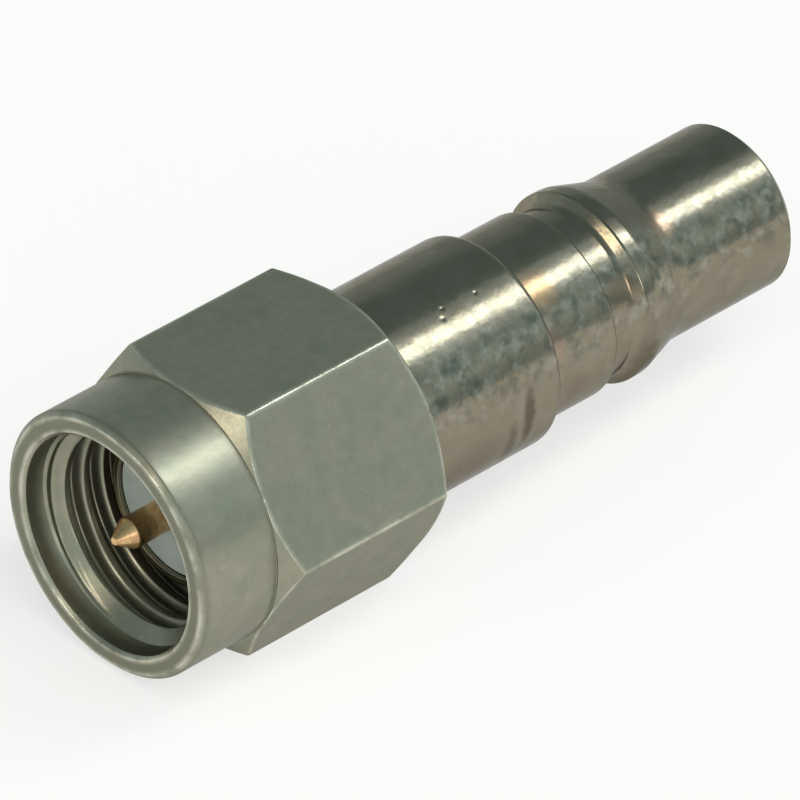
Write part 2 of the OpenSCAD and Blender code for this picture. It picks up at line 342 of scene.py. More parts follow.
def new_finish(name):
    """A new material, its tree, its shader, and the place on the object in mm, measured from the
    middle of the nut's mouth."""
    material = bpy.data.materials.new(name)
    material.use_nodes = True
    tree = material.node_tree
    tree.nodes.clear()
    shader = add(tree, "ShaderNodeBsdfPrincipled")
    add(tree, "ShaderNodeOutputMaterial", {"Surface": shader})
    place = add(tree, "ShaderNodeMapping", {
        "Vector": add(tree, "ShaderNodeTexCoord").outputs["Object"],
        "Location": (-NUT_FRONT / MM, 0, -AXIS_HEIGHT / MM), "Scale": (1 / MM, 1 / MM, 1 / MM),
    })
    return material, tree, shader, place


def patches(tree, place, size, bare, full, stretch=(1, 1, 1), detail=3.0):
    """Soft patches of about the given size in mm, from 0 where bare to 1 where full. A stretch
    makes them long."""
    spread = add(tree, "ShaderNodeMapping", {
        "Vector": place, "Scale": [1 / (size * long) for long in stretch],
    })
    cloud = add(tree, "ShaderNodeTexNoise", {"Vector": spread, "Scale": 1.0, "Detail": detail})
    return add(tree, "ShaderNodeMapRange", {"Value": cloud, "From Min": bare, "From Max": full})


# A Mix node's sockets go by number: its two plain values, its two colours, and the colour it gives
VALUE_A, VALUE_B, COLOUR_A, COLOUR_B, COLOUR_OUT = 2, 3, 6, 7, 2

# White bronze over milled brass, tumbled: a satin grey-green, softly blotched, with a fine grain
# and faint nicks and scuffs. The corners are rubbed bright. The front face round the mouth is
# painted a darker grey, as painted shade. The turned collar and the bore are smoother than the
# milled flats.
# The real grain is about 0.03 mm: it is drawn three times as coarse to show.
nut_bronze, tree, shader, place = new_finish("satin_white_bronze_plating_on_milled_brass")
at = add(tree, "ShaderNodeSeparateXYZ", {0: place}).outputs
off_axis = add(tree, "ShaderNodeVectorMath", {
    0: add(tree, "ShaderNodeCombineXYZ", {"Y": at["Y"], "Z": at["Z"]}),
}, operation="LENGTH").outputs["Value"]
milled = add(tree, "ShaderNodeAttribute", attribute_name="milled").outputs["Fac"]
outside = add(tree, "ShaderNodeMapRange", {
    "Value": off_axis, "From Min": MOUTH_R, "From Max": MOUTH_R + 0.08,
})
cloudy = patches(tree, place, 1.1, 0.38, 0.62, detail=4.0)
blotches = patches(tree, place, 0.4, 0.35, 0.65)
grain = patches(tree, place, 0.1, 0.32, 0.68)
nicks = patches(tree, place, 0.15, 0.71, 0.77, detail=1.0)
scuffs = patches(tree, place, 0.07, 0.7, 0.78, stretch=(5, 1, 9), detail=1.0)
rubbed = add(tree, "ShaderNodeMath", {
    0: add(tree, "ShaderNodeAttribute", attribute_name="wear").outputs["Fac"],
    1: patches(tree, place, 0.7, 0.25, 0.6),
}, operation="MULTIPLY")
tone = add(tree, "ShaderNodeMix", {
    "Factor": cloudy, COLOUR_A: colour("#8e907e"), COLOUR_B: colour("#979382"),
}, data_type="RGBA").outputs[COLOUR_OUT]
tone = add(tree, "ShaderNodeMix", {
    "Factor": add(tree, "ShaderNodeMath", {0: blotches, 1: 0.3}, operation="MULTIPLY"),
    COLOUR_A: tone, COLOUR_B: colour("#a5a492"),
}, data_type="RGBA").outputs[COLOUR_OUT]
marks = add(tree, "ShaderNodeMath", {0: nicks, 1: scuffs}, operation="MAXIMUM")
tone = add(tree, "ShaderNodeMix", {
    "Factor": add(tree, "ShaderNodeMath", {0: marks, 1: 0.3}, operation="MULTIPLY"),
    COLOUR_A: tone, COLOUR_B: colour("#b0b09f"),
}, data_type="RGBA").outputs[COLOUR_OUT]
# Painted shade: the front face round the mouth, outside the bore, is given a darker grey.
rim_painted_shade = add(tree, "ShaderNodeMapRange", {
    "Value": at["X"], "From Min": 0.3, "From Max": 0.04, "To Max": 0.75,
})
rim_painted_shade = add(tree, "ShaderNodeMath", {0: rim_painted_shade, 1: outside}, operation="MULTIPLY")
tone = add(tree, "ShaderNodeMix", {
    "Factor": rim_painted_shade, COLOUR_A: tone, COLOUR_B: colour("#737465"),
}, data_type="RGBA").outputs[COLOUR_OUT]
tone = add(tree, "ShaderNodeMix", {
    "Factor": rubbed, COLOUR_A: tone, COLOUR_B: colour("#c9c7b5"),
}, data_type="RGBA").outputs[COLOUR_OUT]
smooth = add(tree, "ShaderNodeMix", {"Factor": milled, VALUE_A: 0.31, VALUE_B: 0.4}).outputs[0]
smooth = add(tree, "ShaderNodeMix", {"Factor": outside, VALUE_A: 0.3, VALUE_B: smooth}).outputs[0]
smooth = add(tree, "ShaderNodeMix", {"Factor": rubbed, VALUE_A: smooth, VALUE_B: 0.2}).outputs[0]
smooth = add(tree, "ShaderNodeMath", {
    0: smooth, 1: add(tree, "ShaderNodeMath", {0: grain, 1: 0.06}, operation="MULTIPLY"),
})
uneven = add(tree, "ShaderNodeMath", {0: blotches, 1: 2.0, 2: grain}, operation="MULTIPLY_ADD")
relief = add(tree, "ShaderNodeMath", {0: uneven, 1: marks}, operation="SUBTRACT")
rough_cut = add(tree, "ShaderNodeMath", {0: milled, 1: 0.6, 2: 0.2}, operation="MULTIPLY_ADD")
relief = add(tree, "ShaderNodeMath", {0: relief, 1: rough_cut}, operation="MULTIPLY")
dents = add(tree, "ShaderNodeBump", {"Height": relief, "Strength": 0.6, "Distance": 0.004 * MM})
solid = add(tree, "ShaderNodeMix", {"Factor": outside, VALUE_A: 0.93, VALUE_B: 0.86}).outputs[0]
tree.links.new(tone, shader.inputs["Base Color"])
tree.links.new(smooth.outputs[0], shader.inputs["Roughness"])
tree.links.new(solid, shader.inputs["Metallic"])
tree.links.new(dents.outputs[0], shader.inputs["Normal"])
shader.inputs["Specular Tint"].default_value = colour("#c4c4c4")

grow(nut, thread_tree(), Pitch=PITCH * MM, Root_radius=ROOT_R * MM, Crest_radius=CREST_R * MM,
     Start=NUT_FRONT + MOUTH_L * MM, End=NUT_FRONT + (THREAD_END + 0.001) * MM,
     Axis_height=AXIS_HEIGHT, Finish=nut_bronze)
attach(nut, "coupling_nut")
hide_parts("coupling_nut")


# ---------------------------------------------------------------- Front body
# The middle part that the nut turns on: turned brass, plated like the nut but polished.
# Its nose carries the contact face, and its thick rear end is the smooth barrel behind the nut.

FACE_AT, SHOULDER_AT, BODY_AT, BODY_END = 2.35, 4.45, 8.85, 14.05
LINE_R, NOSE_R, NECK_R, BODY_R = 2.05, 2.3, 2.7, 3.175
RING_FRONT, RING_BACK, RING_GROOVE_R = 6.05, 6.9, 2.35
PRESS_AT, PRESS_R = 11.2, 2.6
FRONT_SHOULDER_AT, FRONT_SHOULDER_R = 9.5, 2.35


def turned_piece(name, corners, radius=0.03, steps=4, columns=240):
    """A closed section spun round the axis, as a lathe makes it."""
    section = soften(corners, radius, steps)
    angles = [math.tau * i / columns for i in range(columns)]
    rows = [(lambda angle, p=p: p) for p in section]
    piece = bpy.data.objects.new(name, ring_mesh(name, rows, angles))
    bpy.context.scene.collection.objects.link(piece)
    return piece


# The same plating, polished: it mirrors the room softly, over shallow dimples that break up the
# reflections. Fine turning lines run round it, the plating has clouded in patches, and handling
# left warm brown stains and a few small dents. The clouded patches are turned up in the band
# under the long softbox's streak, as a painted reflection of the room. Pale warm spots on the
# streak are painted highlights, and a dark patch low on the ridge is painted shade.
# Turning lines are about 0.02 mm apart: they are drawn three times as coarse to show.
# A spot is its middle (along, across, up), its reach the same ways, its colour and its strength.
# Most spots are stains; the ones marked below are partly painted light.
STAINS_AND_PAINTED_LIGHT = [
    ((12.8, -3.15, -0.3), (0.3, 1.7, 1.4), "#675f51", 0.95),
    ((12.25, -2.95, -1.2), (0.3, 1.6, 1.2), "#6d6456", 0.8),
    ((10.6, -2.9, -1.2), (1.7, 2.0, 1.6), "#7b6e60", 0.45),
    # Warm tint and painted highlight: a pale spot on the long softbox's streak, at the barrel's
    # rear edge.
    ((14.45, -1.65, 2.27), (0.9, 0.9, 0.8), "#a68a68", 0.8),
    ((14.35, -2.5, 1.1), (0.4, 0.8, 0.9), "#a1897a", 0.7),
    ((15.0, -2.6, -0.7), (0.6, 0.9, 0.7), "#86756a", 0.6),
    # Warm tint and painted highlight: a pale spot on the streak, on the ridge's steep flank.
    ((17.35, -1.3, 2.4), (0.3, 0.8, 0.7), "#a5957a", 0.6),
    ((17.2, -2.2, 1.3), (0.7, 0.7, 0.7), "#837663", 0.9),
    # Brown tint and painted shade: a dark patch low on the ridge's flank.
    ((17.8, -2.2, -1.6), (0.5, 2.2, 2.4), "#6a6355", 0.95),
    # Warm tint and painted highlight: a pale spot on the streak along the tube.
    ((19.4, -1.43, 2.05), (0.5, 0.7, 0.6), "#ad8f79", 0.7),
    ((20.6, -2.5, 0.2), (1.2, 1.0, 0.9), "#807467", 0.35),
]
# A dent is its distance along, its turn from the top in degrees, and its size
DENTS = [
    (11.15, 27, 0.16), (11.35, 22, 0.13), (12.55, 23, 0.12), (9.65, 53, 0.12),
    (12.3, 58, 0.14), (16.1, 27, 0.13), (21.2, 75, 0.12), (10.1, 205, 0.15),
    (13.1, 150, 0.14), (15.3, 250, 0.13), (20.4, 300, 0.15), (22.3, 190, 0.12),
]
# How deep a dent is beside the dimples, whose own depth is 1
DENT_DEPTH = 4.0
# The jack's skin lies at about this share of the barrel's radius
JACK_SHARE = 0.85
# The clouded patches are strongest in a band along the flank, under the long softbox's streak,
# where the room's reflection lies: there they are partly tarnish and partly painted reflection.
# How far across and up the band's middle is, and how far it reaches
REFLECTION_BAND_ACROSS, REFLECTION_BAND_UP, REFLECTION_BAND_REACH = -2.4, 1.5, 1.5
body_bronze, tree, shader, place = new_finish("polished_white_bronze_plating_on_turned_brass")
cloudy = patches(tree, place, 0.9, 0.34, 0.66)
tarnish = patches(tree, place, 0.38, 0.46, 0.7, detail=2.0)
dimples = patches(tree, place, 0.42, 0.25, 0.75, detail=2.0)
lines = patches(tree, place, 0.06, 0.3, 0.7, stretch=(1, 30, 30), detail=1.0)
pale_patches = patches(tree, place, 0.34, 0.5, 0.72, detail=2.0)
reflection_band = add(tree, "ShaderNodeMapping", {
    "Vector": place,
    "Location": (0, -REFLECTION_BAND_ACROSS / REFLECTION_BAND_REACH, -REFLECTION_BAND_UP / REFLECTION_BAND_REACH),
    "Scale": (0, 1 / REFLECTION_BAND_REACH, 1 / REFLECTION_BAND_REACH),
})
reflection_band = add(tree, "ShaderNodeTexGradient", {0: reflection_band}, gradient_type="SPHERICAL").outputs["Fac"]
# Painted reflection: dark and pale patches are strongest in the band where the room's mottled
# reflection lies.
clouding_and_painted_reflection = add(tree, "ShaderNodeMapRange", {
    "Value": reflection_band, "From Max": 0.6, "To Min": 0.14, "To Max": 0.95,
})
tone = add(tree, "ShaderNodeMix", {
    "Factor": cloudy, COLOUR_A: colour("#88816f"), COLOUR_B: colour("#908a79"),
}, data_type="RGBA").outputs[COLOUR_OUT]
tone = add(tree, "ShaderNodeMix", {
    "Factor": add(tree, "ShaderNodeMath", {0: tarnish, 1: clouding_and_painted_reflection}, operation="MULTIPLY"),
    COLOUR_A: tone, COLOUR_B: colour("#67695f"),
}, data_type="RGBA").outputs[COLOUR_OUT]
tone = add(tree, "ShaderNodeMix", {
    "Factor": add(tree, "ShaderNodeMath", {0: pale_patches, 1: clouding_and_painted_reflection}, operation="MULTIPLY"),
    COLOUR_A: tone, COLOUR_B: colour("#a19e90"),
}, data_type="RGBA").outputs[COLOUR_OUT]
ragged_edge = add(tree, "ShaderNodeMath", {
    0: patches(tree, place, 0.35, 0.25, 0.7), 1: 0.6, 2: 0.4,
}, operation="MULTIPLY_ADD")
for centre, reach, stain_and_light_tone, strength in STAINS_AND_PAINTED_LIGHT:
    spot = add(tree, "ShaderNodeMapping", {
        "Vector": place,
        "Location": [-c / r for c, r in zip(centre, reach)],
        "Scale": [1 / r for r in reach],
    })
    spot = add(tree, "ShaderNodeTexGradient", {0: spot}, gradient_type="SPHERICAL")
    ragged = add(tree, "ShaderNodeMath", {
        0: spot.outputs["Fac"], 1: ragged_edge,
    }, operation="MULTIPLY")
    ragged = add(tree, "ShaderNodeMapRange", {
        "Value": ragged, "From Max": 0.5, "To Max": strength,
    }, interpolation_type="SMOOTHSTEP")
    tone = add(tree, "ShaderNodeMix", {
        "Factor": ragged, COLOUR_A: tone, COLOUR_B: colour(stain_and_light_tone),
    }, data_type="RGBA").outputs[COLOUR_OUT]
smooth = add(tree, "ShaderNodeMapRange", {"Value": tarnish, "To Min": 0.19, "To Max": 0.25})
height = add(tree, "ShaderNodeMath", {0: lines, 1: 0.035, 2: dimples}, operation="MULTIPLY_ADD")
for along, turn, size in DENTS:
    skin_r = BODY_R * (JACK_SHARE if along > BODY_END else 1)
    turn = math.radians(turn)
    middle = (along, -skin_r * math.sin(turn), skin_r * math.cos(turn))
    spot = add(tree, "ShaderNodeMapping", {
        "Vector": place, "Location": [-c / size for c in middle], "Scale": [1 / size] * 3,
    })
    spot = add(tree, "ShaderNodeTexGradient", {0: spot}, gradient_type="QUADRATIC_SPHERE")
    height = add(tree, "ShaderNodeMath", {
        0: spot.outputs["Fac"], 1: -DENT_DEPTH, 2: height,
    }, operation="MULTIPLY_ADD")
dents = add(tree, "ShaderNodeBump", {"Height": height, "Strength": 1.0, "Distance": 0.0045 * MM})
tree.links.new(tone, shader.inputs["Base Color"])
tree.links.new(smooth.outputs[0], shader.inputs["Roughness"])
tree.links.new(dents.outputs[0], shader.inputs["Normal"])
shader.inputs["Metallic"].default_value = 1.0
shader.inputs["Specular Tint"].default_value = colour("#c8c8c8")

front_body = turned_piece("front_body_turned", [
    (FACE_AT, LINE_R, 0.02), (FACE_AT, NOSE_R, 0.08), (SHOULDER_AT, NOSE_R, 0.05),
    (SHOULDER_AT, NECK_R, 0.05), (RING_FRONT, NECK_R), (RING_FRONT, RING_GROOVE_R),
    (RING_BACK, RING_GROOVE_R), (RING_BACK, NECK_R), (BODY_AT, NECK_R),
    (BODY_AT, BODY_R, 0.16), (BODY_END, BODY_R, 0.22), (BODY_END, PRESS_R, 0.02),
    (PRESS_AT, PRESS_R), (PRESS_AT, FRONT_SHOULDER_R), (FRONT_SHOULDER_AT, FRONT_SHOULDER_R),
    (FRONT_SHOULDER_AT, LINE_R),
])
front_body.data.materials.append(body_bronze)
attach(front_body, "adapter_body")
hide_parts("front_body")


# ---------------------------------------------------------------- Retaining ring
# An open ring of phosphor bronze spring wire that snaps into the body's groove and holds the nut.
# It shows only as a shadow between nut and barrel.

RING_AT, RING_T, RING_SPLIT, RING_OUTER_R, RING_INNER_R = 6.35, 0.5, 0.9, 3.05, 2.4
RING_COLUMNS = 160


def open_ring(name):
    """The ring's section swept round the axis, from one side of the split to the other."""
    half = math.asin(RING_SPLIT / (RING_OUTER_R + RING_INNER_R))
    section = soften([
        (RING_AT, RING_INNER_R), (RING_AT, RING_OUTER_R),
        (RING_AT + RING_T, RING_OUTER_R), (RING_AT + RING_T, RING_INNER_R),
    ], 0.05)
    vertices, faces = [], []
    for i in range(RING_COLUMNS + 1):
        angle = math.pi / 2 + half + (math.tau - 2 * half) * i / RING_COLUMNS
        for along, radius in section:
            vertices.append((
                NUT_FRONT + along * MM,
                radius * math.sin(angle) * MM,
                AXIS_HEIGHT + radius * math.cos(angle) * MM,
            ))
    around = len(section)
    for i in range(RING_COLUMNS):
        a, b = i * around, (i + 1) * around
        for j in range(around):
            k = (j + 1) % around
            faces.append((a + j, b + j, b + k, a + k))
    mesh = bpy.data.meshes.new(name)
    mesh.from_pydata(vertices, [], faces)
    piece = bpy.data.objects.new(name, close_up(mesh))
    mesh.set_sharp_from_angle(angle=math.radians(50))
    bpy.context.scene.collection.objects.link(piece)
    return piece


# Drawn wire, rolled square: a warm reddish metal with draw lines and dull, heat-tinted patches.
# Draw lines are about 0.01 mm apart: they are drawn five times as coarse to show.
ring_bronze, tree, shader, place = new_finish("drawn_phosphor_bronze_spring_wire")
tint = patches(tree, place, 0.8, 0.35, 0.65)
draws = patches(tree, place, 0.05, 0.3, 0.7, stretch=(1, 12, 12), detail=1.0)
tone = add(tree, "ShaderNodeMix", {
    "Factor": tint, COLOUR_A: colour("#b08560"), COLOUR_B: colour("#8f6a50"),
}, data_type="RGBA").outputs[COLOUR_OUT]
smooth = add(tree, "ShaderNodeMapRange", {"Value": draws, "To Min": 0.24, "To Max": 0.38})
dents = add(tree, "ShaderNodeBump", {"Height": draws, "Strength": 0.5, "Distance": 0.002 * MM})
tree.links.new(tone, shader.inputs["Base Color"])
tree.links.new(smooth.outputs[0], shader.inputs["Roughness"])
tree.links.new(dents.outputs[0], shader.inputs["Normal"])
shader.inputs["Metallic"].default_value = 1.0

retaining_ring = open_ring("retaining_ring_open")
retaining_ring.data.materials.append(ring_bronze)
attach(retaining_ring, "retaining_ring")
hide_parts("retaining_ring")


# ---------------------------------------------------------------- Face gasket
# A silicone washer pushed over the nose, against the shoulder, that seals the mated pair.
# It is moulded, matt and slightly rubbery.

GASKET_AT, GASKET_R, GASKET_BORE_R = 3.65, 2.65, 2.32

# Compression-moulded silicone: brick red, matt, faintly cloudy, with the mould's fine sandy skin.
silicone, tree, shader, place = new_finish("moulded_silicone_rubber")
cloudy = patches(tree, place, 0.6, 0.35, 0.65)
skin = patches(tree, place, 0.08, 0.3, 0.7)
tone = add(tree, "ShaderNodeMix", {
    "Factor": cloudy, COLOUR_A: colour("#9a3a26"), COLOUR_B: colour("#b04c33"),
}, data_type="RGBA").outputs[COLOUR_OUT]
smooth = add(tree, "ShaderNodeMapRange", {"Value": skin, "To Min": 0.48, "To Max": 0.64})
dents = add(tree, "ShaderNodeBump", {"Height": skin, "Strength": 0.5, "Distance": 0.004 * MM})
tree.links.new(tone, shader.inputs["Base Color"])
tree.links.new(smooth.outputs[0], shader.inputs["Roughness"])
tree.links.new(dents.outputs[0], shader.inputs["Normal"])
shader.inputs["IOR"].default_value = 1.41

gasket = turned_piece("face_gasket_moulded", [
    (GASKET_AT, GASKET_BORE_R), (GASKET_AT, GASKET_R),
    (SHOULDER_AT, GASKET_R), (SHOULDER_AT, GASKET_BORE_R),
], radius=0.12, steps=6)
gasket.data.materials.append(silicone)
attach(gasket, "adapter_body")
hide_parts("face_gasket")


# ---------------------------------------------------------------- Jack shell
# The slim rear half, turned from the same brass and pressed into the barrel.
# Step, snap-lock groove, ridge with a steep flank and a long ramp, then the thin-walled end tube.

STEP_R, STEP_END = 2.8, 16.5
GROOVE_R, GROOVE_END = 2.55, 17.4
RIDGE_R, RIDGE_AT, LAND_L, RAMP_L = 2.9, 17.68, 0.4, 1.3
TUBE_R, TUBE_BEVEL, TUBE_END = 2.5, 0.18, 23.70985
JACK_BORE_R, JACK_BEVEL, JACK_FACE_AT = 2.25, 0.06, 20.10985
REAR_SHOULDER_R, REAR_SHOULDER_END = 2.275, 12.2
# Clearance on the radius between pieces that are pressed or slid together
SEAT_GAP = 0.02

jack_shell = turned_piece("jack_shell_turned", [
    (PRESS_AT, REAR_SHOULDER_R), (PRESS_AT, PRESS_R - SEAT_GAP), (BODY_END, PRESS_R - SEAT_GAP),
    (BODY_END, STEP_R, 0.02), (STEP_END, STEP_R, 0.1), (STEP_END, GROOVE_R, 0.06),
    (GROOVE_END, GROOVE_R, 0.25),
    (RIDGE_AT, RIDGE_R, 0.1), (RIDGE_AT + LAND_L, RIDGE_R, 0.8),
    (RIDGE_AT + LAND_L + RAMP_L, TUBE_R, 2.0),
    (TUBE_END - TUBE_BEVEL, TUBE_R, 0.08), (TUBE_END, TUBE_R - TUBE_BEVEL, 0.05),
    (TUBE_END, JACK_BORE_R + JACK_BEVEL, 0.01), (TUBE_END - JACK_BEVEL, JACK_BORE_R, 0.02),
    (JACK_FACE_AT, JACK_BORE_R), (JACK_FACE_AT, LINE_R),
    (REAR_SHOULDER_END, LINE_R), (REAR_SHOULDER_END, REAR_SHOULDER_R),
])
jack_shell.data.materials.append(body_bronze)
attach(jack_shell, "adapter_body")
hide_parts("jack_shell")


# ---------------------------------------------------------------- Insulators
# Two turned PTFE bushes that hold the centre contact on the line's axis, one from each end.
# Waxy white and slightly see-through at the edges.

CONTACT_R, COLLAR_CONTACT_R, CONTACT_COLLAR_AT = 0.635, 0.95, 10.5
INSULATOR_FACE_AT = 2.5
INSULATOR_R = LINE_R - SEAT_GAP
INSULATOR_BORE_R = CONTACT_R + SEAT_GAP

# Turned PTFE: waxy and a little see-through, with a faint swirl of tool rings on its faces. The
# white plastic is given a grey colour here, as painted shade for the deep bore it stands in.
# The tool rings are about 0.03 mm apart: they are drawn three times as coarse to show.
ptfe, tree, shader, place = new_finish("turned_ptfe")
at = add(tree, "ShaderNodeSeparateXYZ", {0: place}).outputs
off_axis = add(tree, "ShaderNodeVectorMath", {
    0: add(tree, "ShaderNodeCombineXYZ", {"Y": at["Y"], "Z": at["Z"]}),
}, operation="LENGTH").outputs["Value"]
rings = add(tree, "ShaderNodeCombineXYZ", {"X": off_axis})
swirl = patches(tree, rings, 0.09, 0.3, 0.7, detail=1.0)
milky = patches(tree, place, 0.7, 0.35, 0.65)
# Painted shade: two greys in place of the PTFE's white.
tone = add(tree, "ShaderNodeMix", {
    "Factor": milky, COLOUR_A: colour("#9fa7a3"), COLOUR_B: colour("#acb3af"),
}, data_type="RGBA").outputs[COLOUR_OUT]
smooth = add(tree, "ShaderNodeMapRange", {"Value": swirl, "To Min": 0.36, "To Max": 0.48})
dents = add(tree, "ShaderNodeBump", {"Height": swirl, "Strength": 0.5, "Distance": 0.003 * MM})
tree.links.new(tone, shader.inputs["Base Color"])
tree.links.new(smooth.outputs[0], shader.inputs["Roughness"])
tree.links.new(dents.outputs[0], shader.inputs["Normal"])
shader.inputs["IOR"].default_value = 1.35
shader.inputs["Subsurface Weight"].default_value = 0.15
shader.inputs["Subsurface Scale"].default_value = 0.2 * MM

front_insulator = turned_piece("front_insulator_turned", [
    (INSULATOR_FACE_AT, INSULATOR_BORE_R, 0.01), (INSULATOR_FACE_AT, INSULATOR_R, 0.02),
    (FRONT_SHOULDER_AT, INSULATOR_R),
    (FRONT_SHOULDER_AT, FRONT_SHOULDER_R - SEAT_GAP), (PRESS_AT, FRONT_SHOULDER_R - SEAT_GAP),
    (PRESS_AT, COLLAR_CONTACT_R + SEAT_GAP), (CONTACT_COLLAR_AT, COLLAR_CONTACT_R + SEAT_GAP),
    (CONTACT_COLLAR_AT, INSULATOR_BORE_R),
])
rear_insulator = turned_piece("rear_insulator_turned", [
    (PRESS_AT, INSULATOR_BORE_R), (PRESS_AT, REAR_SHOULDER_R - SEAT_GAP),
    (REAR_SHOULDER_END, REAR_SHOULDER_R - SEAT_GAP), (REAR_SHOULDER_END, INSULATOR_R),
    (JACK_FACE_AT, INSULATOR_R, 0.02), (JACK_FACE_AT, INSULATOR_BORE_R, 0.01),
])
for bush in (front_insulator, rear_insulator):
    bush.data.materials.append(ptfe)
    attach(bush, "adapter_body")
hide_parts("front_insulator")
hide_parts("rear_insulator")


# ---------------------------------------------------------------- Centre contact
# One turned piece of beryllium copper, gold plated: the plug's tapered pin in front, and at the
# back a bored socket whose wall is slit into four fingers that grip the mating pin.

PIN_R, PIN_TIP_R, PIN_RECESS, PIN_CONE_L = 0.46, 0.11, 0.35, 0.55
SOCKET_R, SOCKET_L, SOCKET_BEVEL, SLOT_W, SLOT_L = 0.47, 2.6, 0.08, 0.12, 1.9
CONTACT_COLUMNS = 96

# Thin gold over turned beryllium copper: warm, half-dull, browner where the plating has darkened.
# Turning lines are about 0.015 mm apart: they are drawn three times as coarse to show.
gold, tree, shader, place = new_finish("gold_plating_on_turned_beryllium_copper")
tarnish = patches(tree, place, 0.3, 0.4, 0.65)
lines = patches(tree, place, 0.05, 0.3, 0.7, stretch=(1, 30, 30), detail=1.0)
tone = add(tree, "ShaderNodeMix", {
    "Factor": tarnish, COLOUR_A: colour("#eac38d"), COLOUR_B: colour("#cfa67a"),
}, data_type="RGBA").outputs[COLOUR_OUT]
smooth = add(tree, "ShaderNodeMapRange", {"Value": tarnish, "To Min": 0.22, "To Max": 0.34})
dents = add(tree, "ShaderNodeBump", {"Height": lines, "Strength": 0.5, "Distance": 0.0015 * MM})
tree.links.new(tone, shader.inputs["Base Color"])
tree.links.new(smooth.outputs[0], shader.inputs["Roughness"])
tree.links.new(dents.outputs[0], shader.inputs["Normal"])
shader.inputs["Metallic"].default_value = 1.0
socket_at = JACK_FACE_AT - SOCKET_L
contact_section = soften([
    (PIN_RECESS, 0.0, 0.0), (PIN_RECESS, PIN_TIP_R, 0.03),
    (PIN_RECESS + PIN_CONE_L, PIN_R, 0.12), (INSULATOR_FACE_AT, PIN_R),
    (INSULATOR_FACE_AT, CONTACT_R, 0.03), (CONTACT_COLLAR_AT, CONTACT_R),
    (CONTACT_COLLAR_AT, COLLAR_CONTACT_R), (PRESS_AT, COLLAR_CONTACT_R),
    (PRESS_AT, CONTACT_R), (JACK_FACE_AT, CONTACT_R, 0.03),
    (JACK_FACE_AT, SOCKET_R + SOCKET_BEVEL), (JACK_FACE_AT - SOCKET_BEVEL, SOCKET_R),
    (socket_at, SOCKET_R), (socket_at, 0.0, 0.0),
], 0.02, closed=False)
contact_angles = [math.tau * i / CONTACT_COLUMNS for i in range(CONTACT_COLUMNS)]
contact_rows = [(lambda angle, p=p: p) for p in contact_section]
contact_mesh = ring_mesh("centre_contact_slit", contact_rows, contact_angles, False)
contact = bpy.data.objects.new("centre_contact_slit", contact_mesh)
bpy.context.scene.collection.objects.link(contact)

# Two saw cuts that cross make the four fingers. A saw is wider than the contact, and runs out
# past its end.
SAW_WIDTH, SAW_RUN_OUT = 2.6, 0.4
saws = []
for turn in (45, 135):
    saw_mesh = bpy.data.meshes.new("saw")
    work = bmesh.new()
    bmesh.ops.create_cube(work, size=1)
    for v in work.verts:
        along = JACK_FACE_AT - SLOT_L + (v.co.x + 0.5) * (SLOT_L + SAW_RUN_OUT)
        across, side = v.co.y * SAW_WIDTH, v.co.z * SLOT_W
        t = math.radians(turn)
        v.co = (
            NUT_FRONT + along * MM,
            (across * math.cos(t) - side * math.sin(t)) * MM,
            AXIS_HEIGHT + (across * math.sin(t) + side * math.cos(t)) * MM,
        )
    bmesh.ops.recalc_face_normals(work, faces=work.faces)
    work.to_mesh(saw_mesh)
    work.free()
    saw = bpy.data.objects.new("saw", saw_mesh)
    bpy.context.scene.collection.objects.link(saw)
    slit = contact.modifiers.new("slit", "BOOLEAN")
    slit.operation, slit.solver, slit.object = "DIFFERENCE", "EXACT", saw
    saws.append(saw)
graph = bpy.context.evaluated_depsgraph_get()
slit_mesh = bpy.data.meshes.new_from_object(contact.evaluated_get(graph))
contact.modifiers.clear()
contact.data = slit_mesh
slit_mesh.set_sharp_from_angle(angle=math.radians(40))
for saw in saws:
    bpy.data.objects.remove(saw)
contact.data.materials.clear()
contact.data.materials.append(gold)
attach(contact, "adapter_body")
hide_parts("centre_contact")


# ---------------------------------------------------------------- Floor, light and camera
# A plain white tabletop in a pale grey room. A long softbox hangs over the jack's end with a
# weaker, wider one round it, one faces the nut's mouth, a low one picks out the hexagon's
# corners, and a broad fill that the metal doesn't mirror comes from above.

FLOOR_REACH = 1.2
corners = [(-1, -1), (1, -1), (1, 1), (-1, 1)]
floor_mesh = bpy.data.meshes.new("floor")
floor_mesh.from_pydata(
    [(x * FLOOR_REACH, y * FLOOR_REACH, 0.0) for x, y in corners], [], [(0, 1, 2, 3)])
floor = bpy.data.objects.new("floor", floor_mesh)
bpy.context.scene.collection.objects.link(floor)

# White paper: matt, so it keeps the object's shadow. To the eye and in the metal it also glows by
# this share, so that it shows as plain white.
GLOW_SHARE = 0.65
paper = bpy.data.materials.new("white_table_paper")
paper.use_nodes = True
paper.node_tree.nodes.clear()
tree = paper.node_tree
matt = add(tree, "ShaderNodeBsdfDiffuse", {"Color": colour("#f6f5f1")})
glow = add(tree, "ShaderNodeEmission", {"Color": colour("#ffffff"), "Strength": 1.0})
path = add(tree, "ShaderNodeLightPath").outputs
seen = add(tree, "ShaderNodeMath", {
    0: path["Is Camera Ray"], 1: path["Is Glossy Ray"],
}, operation="MAXIMUM")
seen = add(tree, "ShaderNodeMath", {0: seen, 1: path["Is Transmission Ray"]}, operation="MAXIMUM")
share = add(tree, "ShaderNodeMath", {0: seen, 1: GLOW_SHARE}, operation="MULTIPLY")
sheet = add(tree, "ShaderNodeMixShader", {0: share, 1: matt, 2: glow})
add(tree, "ShaderNodeOutputMaterial", {"Surface": sheet})
floor.data.materials.append(paper)

